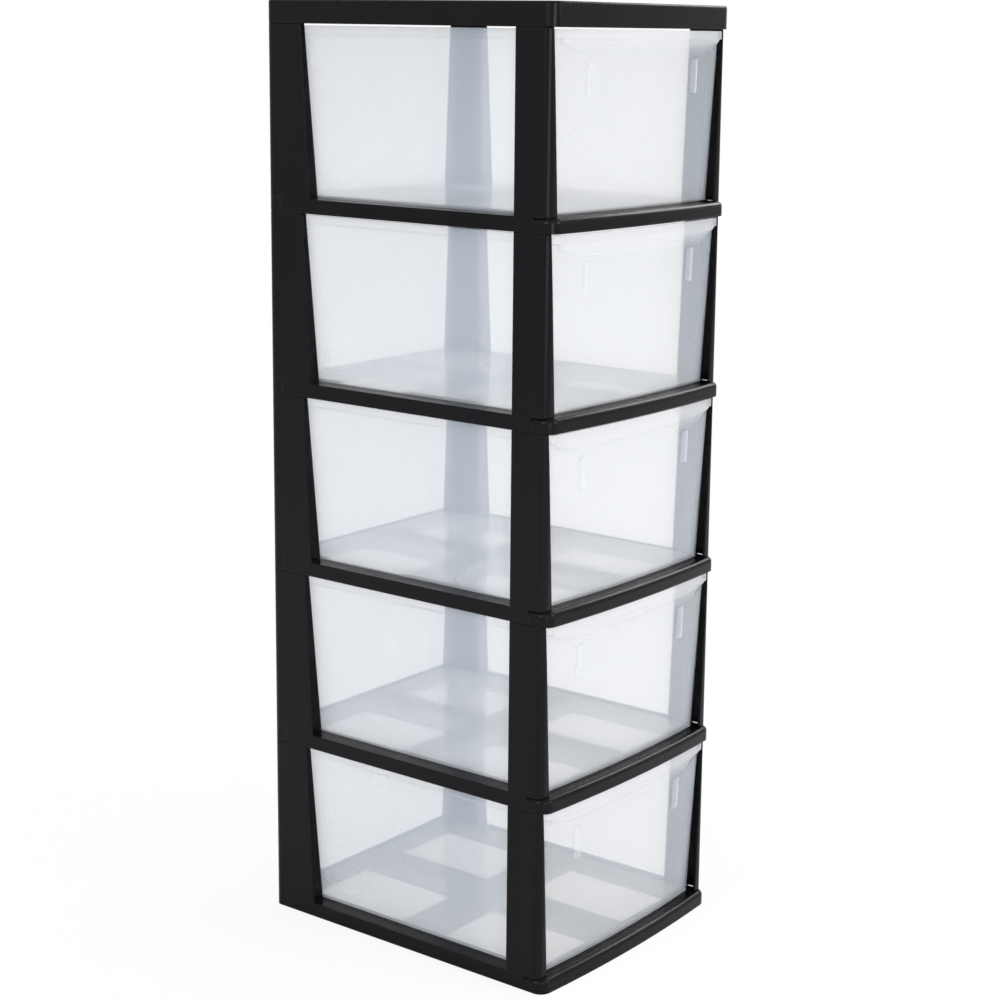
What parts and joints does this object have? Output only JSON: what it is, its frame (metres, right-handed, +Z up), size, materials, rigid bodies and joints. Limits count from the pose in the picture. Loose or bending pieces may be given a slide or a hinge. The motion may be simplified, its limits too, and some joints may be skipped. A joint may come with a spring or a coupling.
{
  "type": "plastic drawer tower",
  "caption": "Tall free-standing tower of clear pull-out drawers in a black frame of stacked tiers, each with drafted posts, side rails and a bowed front bar, under a flat top cover.",
  "frame": {"origin": "on the floor, under the middle of the four posts", "axes": "+X to the tower's right as seen by someone who faces its front, -Y out of its front, +Z up"},
  "size_m": [0.292, 0.3655, 0.95],
  "materials": {
    "frame_plastic": "black moulded plastic with a soft shine",
    "clear_plastic": "clear, slightly frosted moulded plastic"
  },
  "bodies": {
    "frame": {"side_frame_left_1": "frame_plastic", "side_frame_right_1": "frame_plastic", "shelf_frame_1": "frame_plastic", "side_frame_left_2": "frame_plastic", "side_frame_right_2": "frame_plastic", "shelf_frame_2": "frame_plastic", "side_frame_left_3": "frame_plastic", "side_frame_right_3": "frame_plastic", "shelf_frame_3": "frame_plastic", "side_frame_left_4": "frame_plastic", "side_frame_right_4": "frame_plastic", "shelf_frame_4": "frame_plastic", "side_frame_left_5": "frame_plastic", "side_frame_right_5": "frame_plastic", "shelf_frame_5": "frame_plastic", "top_cover": "frame_plastic"},
    "drawer_body_1": {"drawer_1": "clear_plastic"},
    "drawer_body_2": {"drawer_2": "clear_plastic"},
    "drawer_body_3": {"drawer_3": "clear_plastic"},
    "drawer_body_4": {"drawer_4": "clear_plastic"},
    "drawer_body_5": {"drawer_5": "clear_plastic"}
  },
  "joints": [
    {"name": "drawer_slide_1", "type": "slide", "parent": "frame", "child": "drawer_body_1", "axis": [0, -1, 0], "range_m": [0, 0.25]},
    {"name": "drawer_slide_2", "type": "slide", "parent": "frame", "child": "drawer_body_2", "axis": [0, -1, 0], "range_m": [0, 0.25]},
    {"name": "drawer_slide_3", "type": "slide", "parent": "frame", "child": "drawer_body_3", "axis": [0, -1, 0], "range_m": [0, 0.25]},
    {"name": "drawer_slide_4", "type": "slide", "parent": "frame", "child": "drawer_body_4", "axis": [0, -1, 0], "range_m": [0, 0.25]},
    {"name": "drawer_slide_5", "type": "slide", "parent": "frame", "child": "drawer_body_5", "axis": [0, -1, 0], "range_m": [0, 0.25]}
  ]
}
